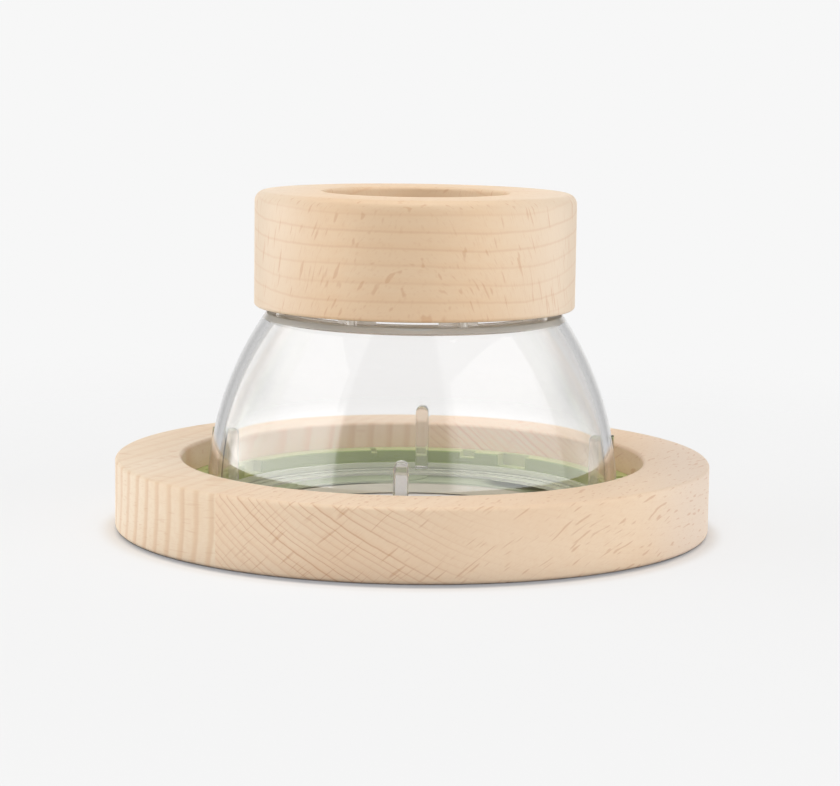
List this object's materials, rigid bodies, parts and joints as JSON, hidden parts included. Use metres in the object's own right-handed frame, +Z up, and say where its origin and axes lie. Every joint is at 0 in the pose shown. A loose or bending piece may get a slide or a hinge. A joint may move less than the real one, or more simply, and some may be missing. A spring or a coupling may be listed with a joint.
{
  "type": "bug catcher jar",
  "caption": "Clear domed jar on a wide wooden base ring, with a wooden magnifier cap; turning the dome closes the open mouth underneath with thin curved blades.",
  "frame": {"origin": "centre of the base ring's underside, on the table", "axes": "+Z up through the jar; -Y is the front; the four ribs stand at the four axis directions"},
  "size_m": [0.1394, 0.1394, 0.0785],
  "materials": {
    "wood_main": "smooth unvarnished beech",
    "wood_side": "smooth unvarnished beech",
    "wood_cap": "smooth unvarnished beech",
    "green_housing": "satin moulded plastic",
    "pale_plate": "satin moulded plastic",
    "blade_green": "satin thin sheet",
    "screw_steel": "zinc plated",
    "clear_ring": "clear polished",
    "clear_dome": "clear polished",
    "clear_lens": "clear polished",
    "seat_plastic": "satin moulded plastic",
    "gasket_rubber": "soft"
  },
  "bodies": {
    "base": {"base_ring_main_board": "wood_main", "base_ring_side_board": "wood_side", "iris_housing": "green_housing", "housing_screws": "screw_steel", "bottom_plate": "pale_plate", "base_screws": "screw_steel"},
    "jar_top": {"drive_ring": "clear_ring", "dome": "clear_dome", "cap_ring": "wood_cap", "lens_seat_ring": "seat_plastic", "magnifying_lens": "clear_lens", "lens_gasket": "gasket_rubber"},
    "iris_blade_1": {"iris_blade_1": "blade_green"},
    "iris_blade_2": {"iris_blade_2": "blade_green"},
    "iris_blade_3": {"iris_blade_3": "blade_green"},
    "iris_blade_4": {"iris_blade_4": "blade_green"},
    "iris_blade_5": {"iris_blade_5": "blade_green"},
    "iris_blade_6": {"iris_blade_6": "blade_green"},
    "iris_blade_7": {"iris_blade_7": "blade_green"},
    "iris_blade_8": {"iris_blade_8": "blade_green"}
  },
  "joints": [
    {"name": "dome_turn", "type": "hinge", "parent": "base", "child": "jar_top", "pos_m": [0, 0, 0.006], "axis": [0, 0, -1], "range_deg": [0, 30]},
    {"name": "blade_1_swing", "type": "hinge", "parent": "base", "child": "iris_blade_1", "pos_m": [0.059, 0, 0.003], "axis": [0, 0, 1], "range_deg": [0, 57]},
    {"name": "blade_2_swing", "type": "hinge", "parent": "base", "child": "iris_blade_2", "pos_m": [0.04172, 0.04172, 0.003], "axis": [0, 0, 1], "range_deg": [0, 57]},
    {"name": "blade_3_swing", "type": "hinge", "parent": "base", "child": "iris_blade_3", "pos_m": [0, 0.059, 0.003], "axis": [0, 0, 1], "range_deg": [0, 57]},
    {"name": "blade_4_swing", "type": "hinge", "parent": "base", "child": "iris_blade_4", "pos_m": [-0.04172, 0.04172, 0.003], "axis": [0, 0, 1], "range_deg": [0, 57]},
    {"name": "blade_5_swing", "type": "hinge", "parent": "base", "child": "iris_blade_5", "pos_m": [-0.059, 0, 0.003], "axis": [0, 0, 1], "range_deg": [0, 57]},
    {"name": "blade_6_swing", "type": "hinge", "parent": "base", "child": "iris_blade_6", "pos_m": [-0.04172, -0.04172, 0.003], "axis": [0, 0, 1], "range_deg": [0, 57]},
    {"name": "blade_7_swing", "type": "hinge", "parent": "base", "child": "iris_blade_7", "pos_m": [0, -0.059, 0.003], "axis": [0, 0, 1], "range_deg": [0, 57]},
    {"name": "blade_8_swing", "type": "hinge", "parent": "base", "child": "iris_blade_8", "pos_m": [0.04172, -0.04172, 0.003], "axis": [0, 0, 1], "range_deg": [0, 57]}
  ],
  "couplings": [
    {"joint": "blade_1_swing", "follows": "dome_turn", "ratio": 1.9},
    {"joint": "blade_2_swing", "follows": "dome_turn", "ratio": 1.9},
    {"joint": "blade_3_swing", "follows": "dome_turn", "ratio": 1.9},
    {"joint": "blade_4_swing", "follows": "dome_turn", "ratio": 1.9},
    {"joint": "blade_5_swing", "follows": "dome_turn", "ratio": 1.9},
    {"joint": "blade_6_swing", "follows": "dome_turn", "ratio": 1.9},
    {"joint": "blade_7_swing", "follows": "dome_turn", "ratio": 1.9},
    {"joint": "blade_8_swing", "follows": "dome_turn", "ratio": 1.9}
  ]
}
